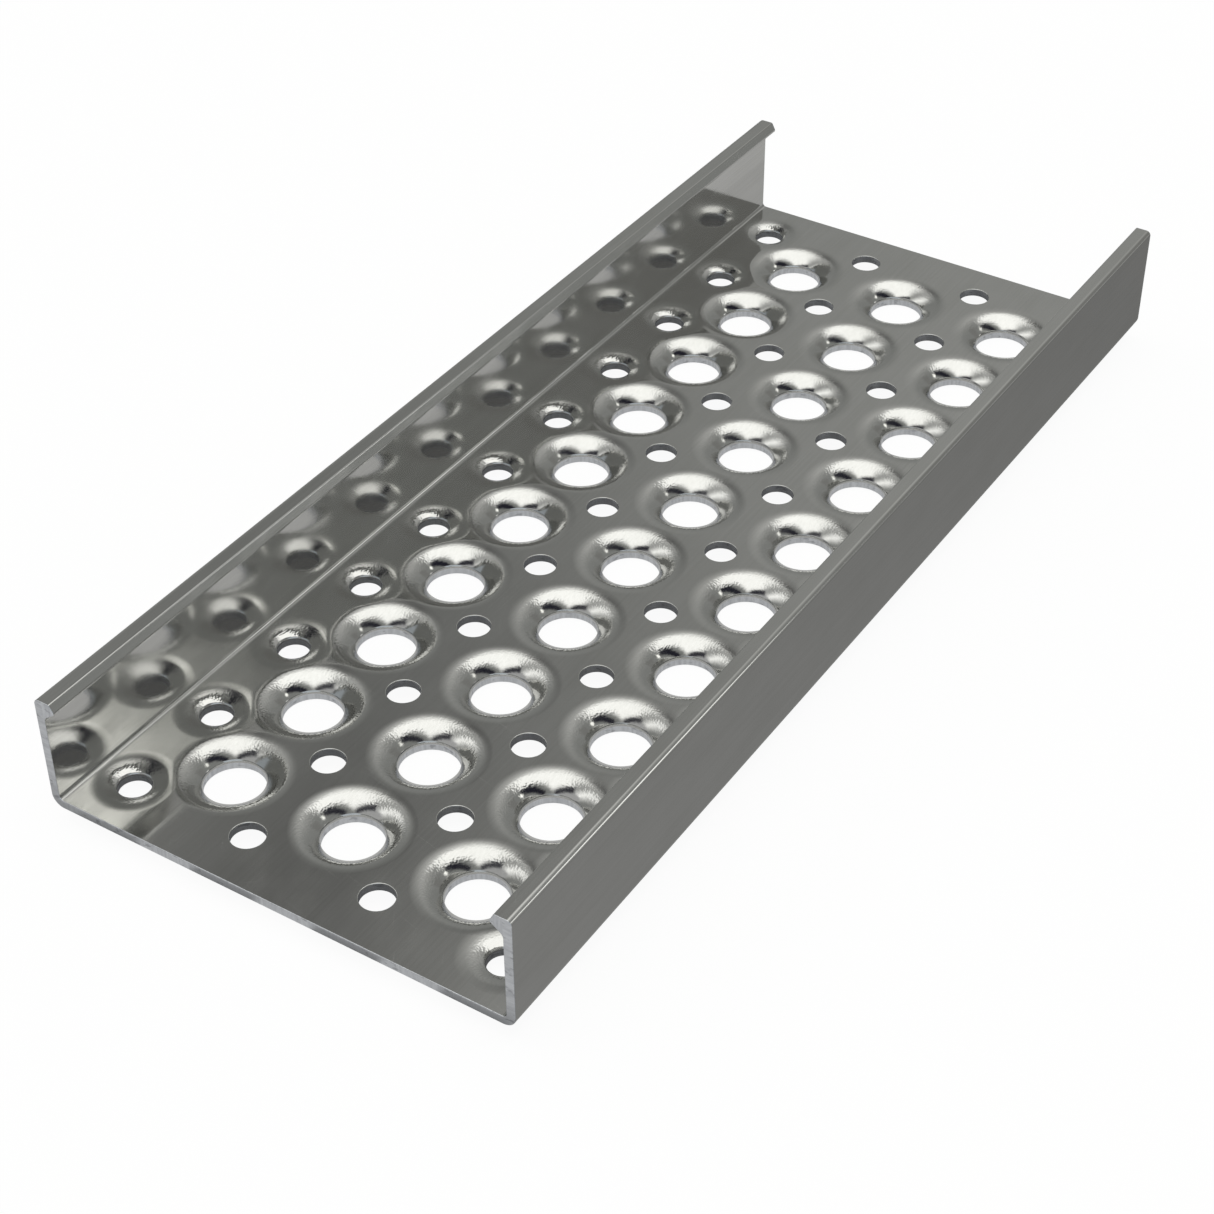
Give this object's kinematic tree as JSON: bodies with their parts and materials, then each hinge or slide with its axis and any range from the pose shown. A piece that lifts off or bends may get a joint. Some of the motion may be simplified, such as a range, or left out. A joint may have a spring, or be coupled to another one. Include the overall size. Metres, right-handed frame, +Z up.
{
  "type": "perforated channel plank",
  "caption": "Channel plank of folded aluminium sheet, its floor pierced by large debossed holes and small plain holes, with a short lip along each flange.",
  "frame": {"origin": "middle of the plane that the rims of the debossed bosses stand on", "axes": "+X along the plank, +Y across it, +Z up out of the open side of the channel"},
  "size_m": [0.452, 0.18, 0.0496],
  "materials": {
    "sheet": "bright mill finish with fine rolling lines"
  },
  "bodies": {
    "root": {"plank": "sheet"}
  },
  "joints": []
}
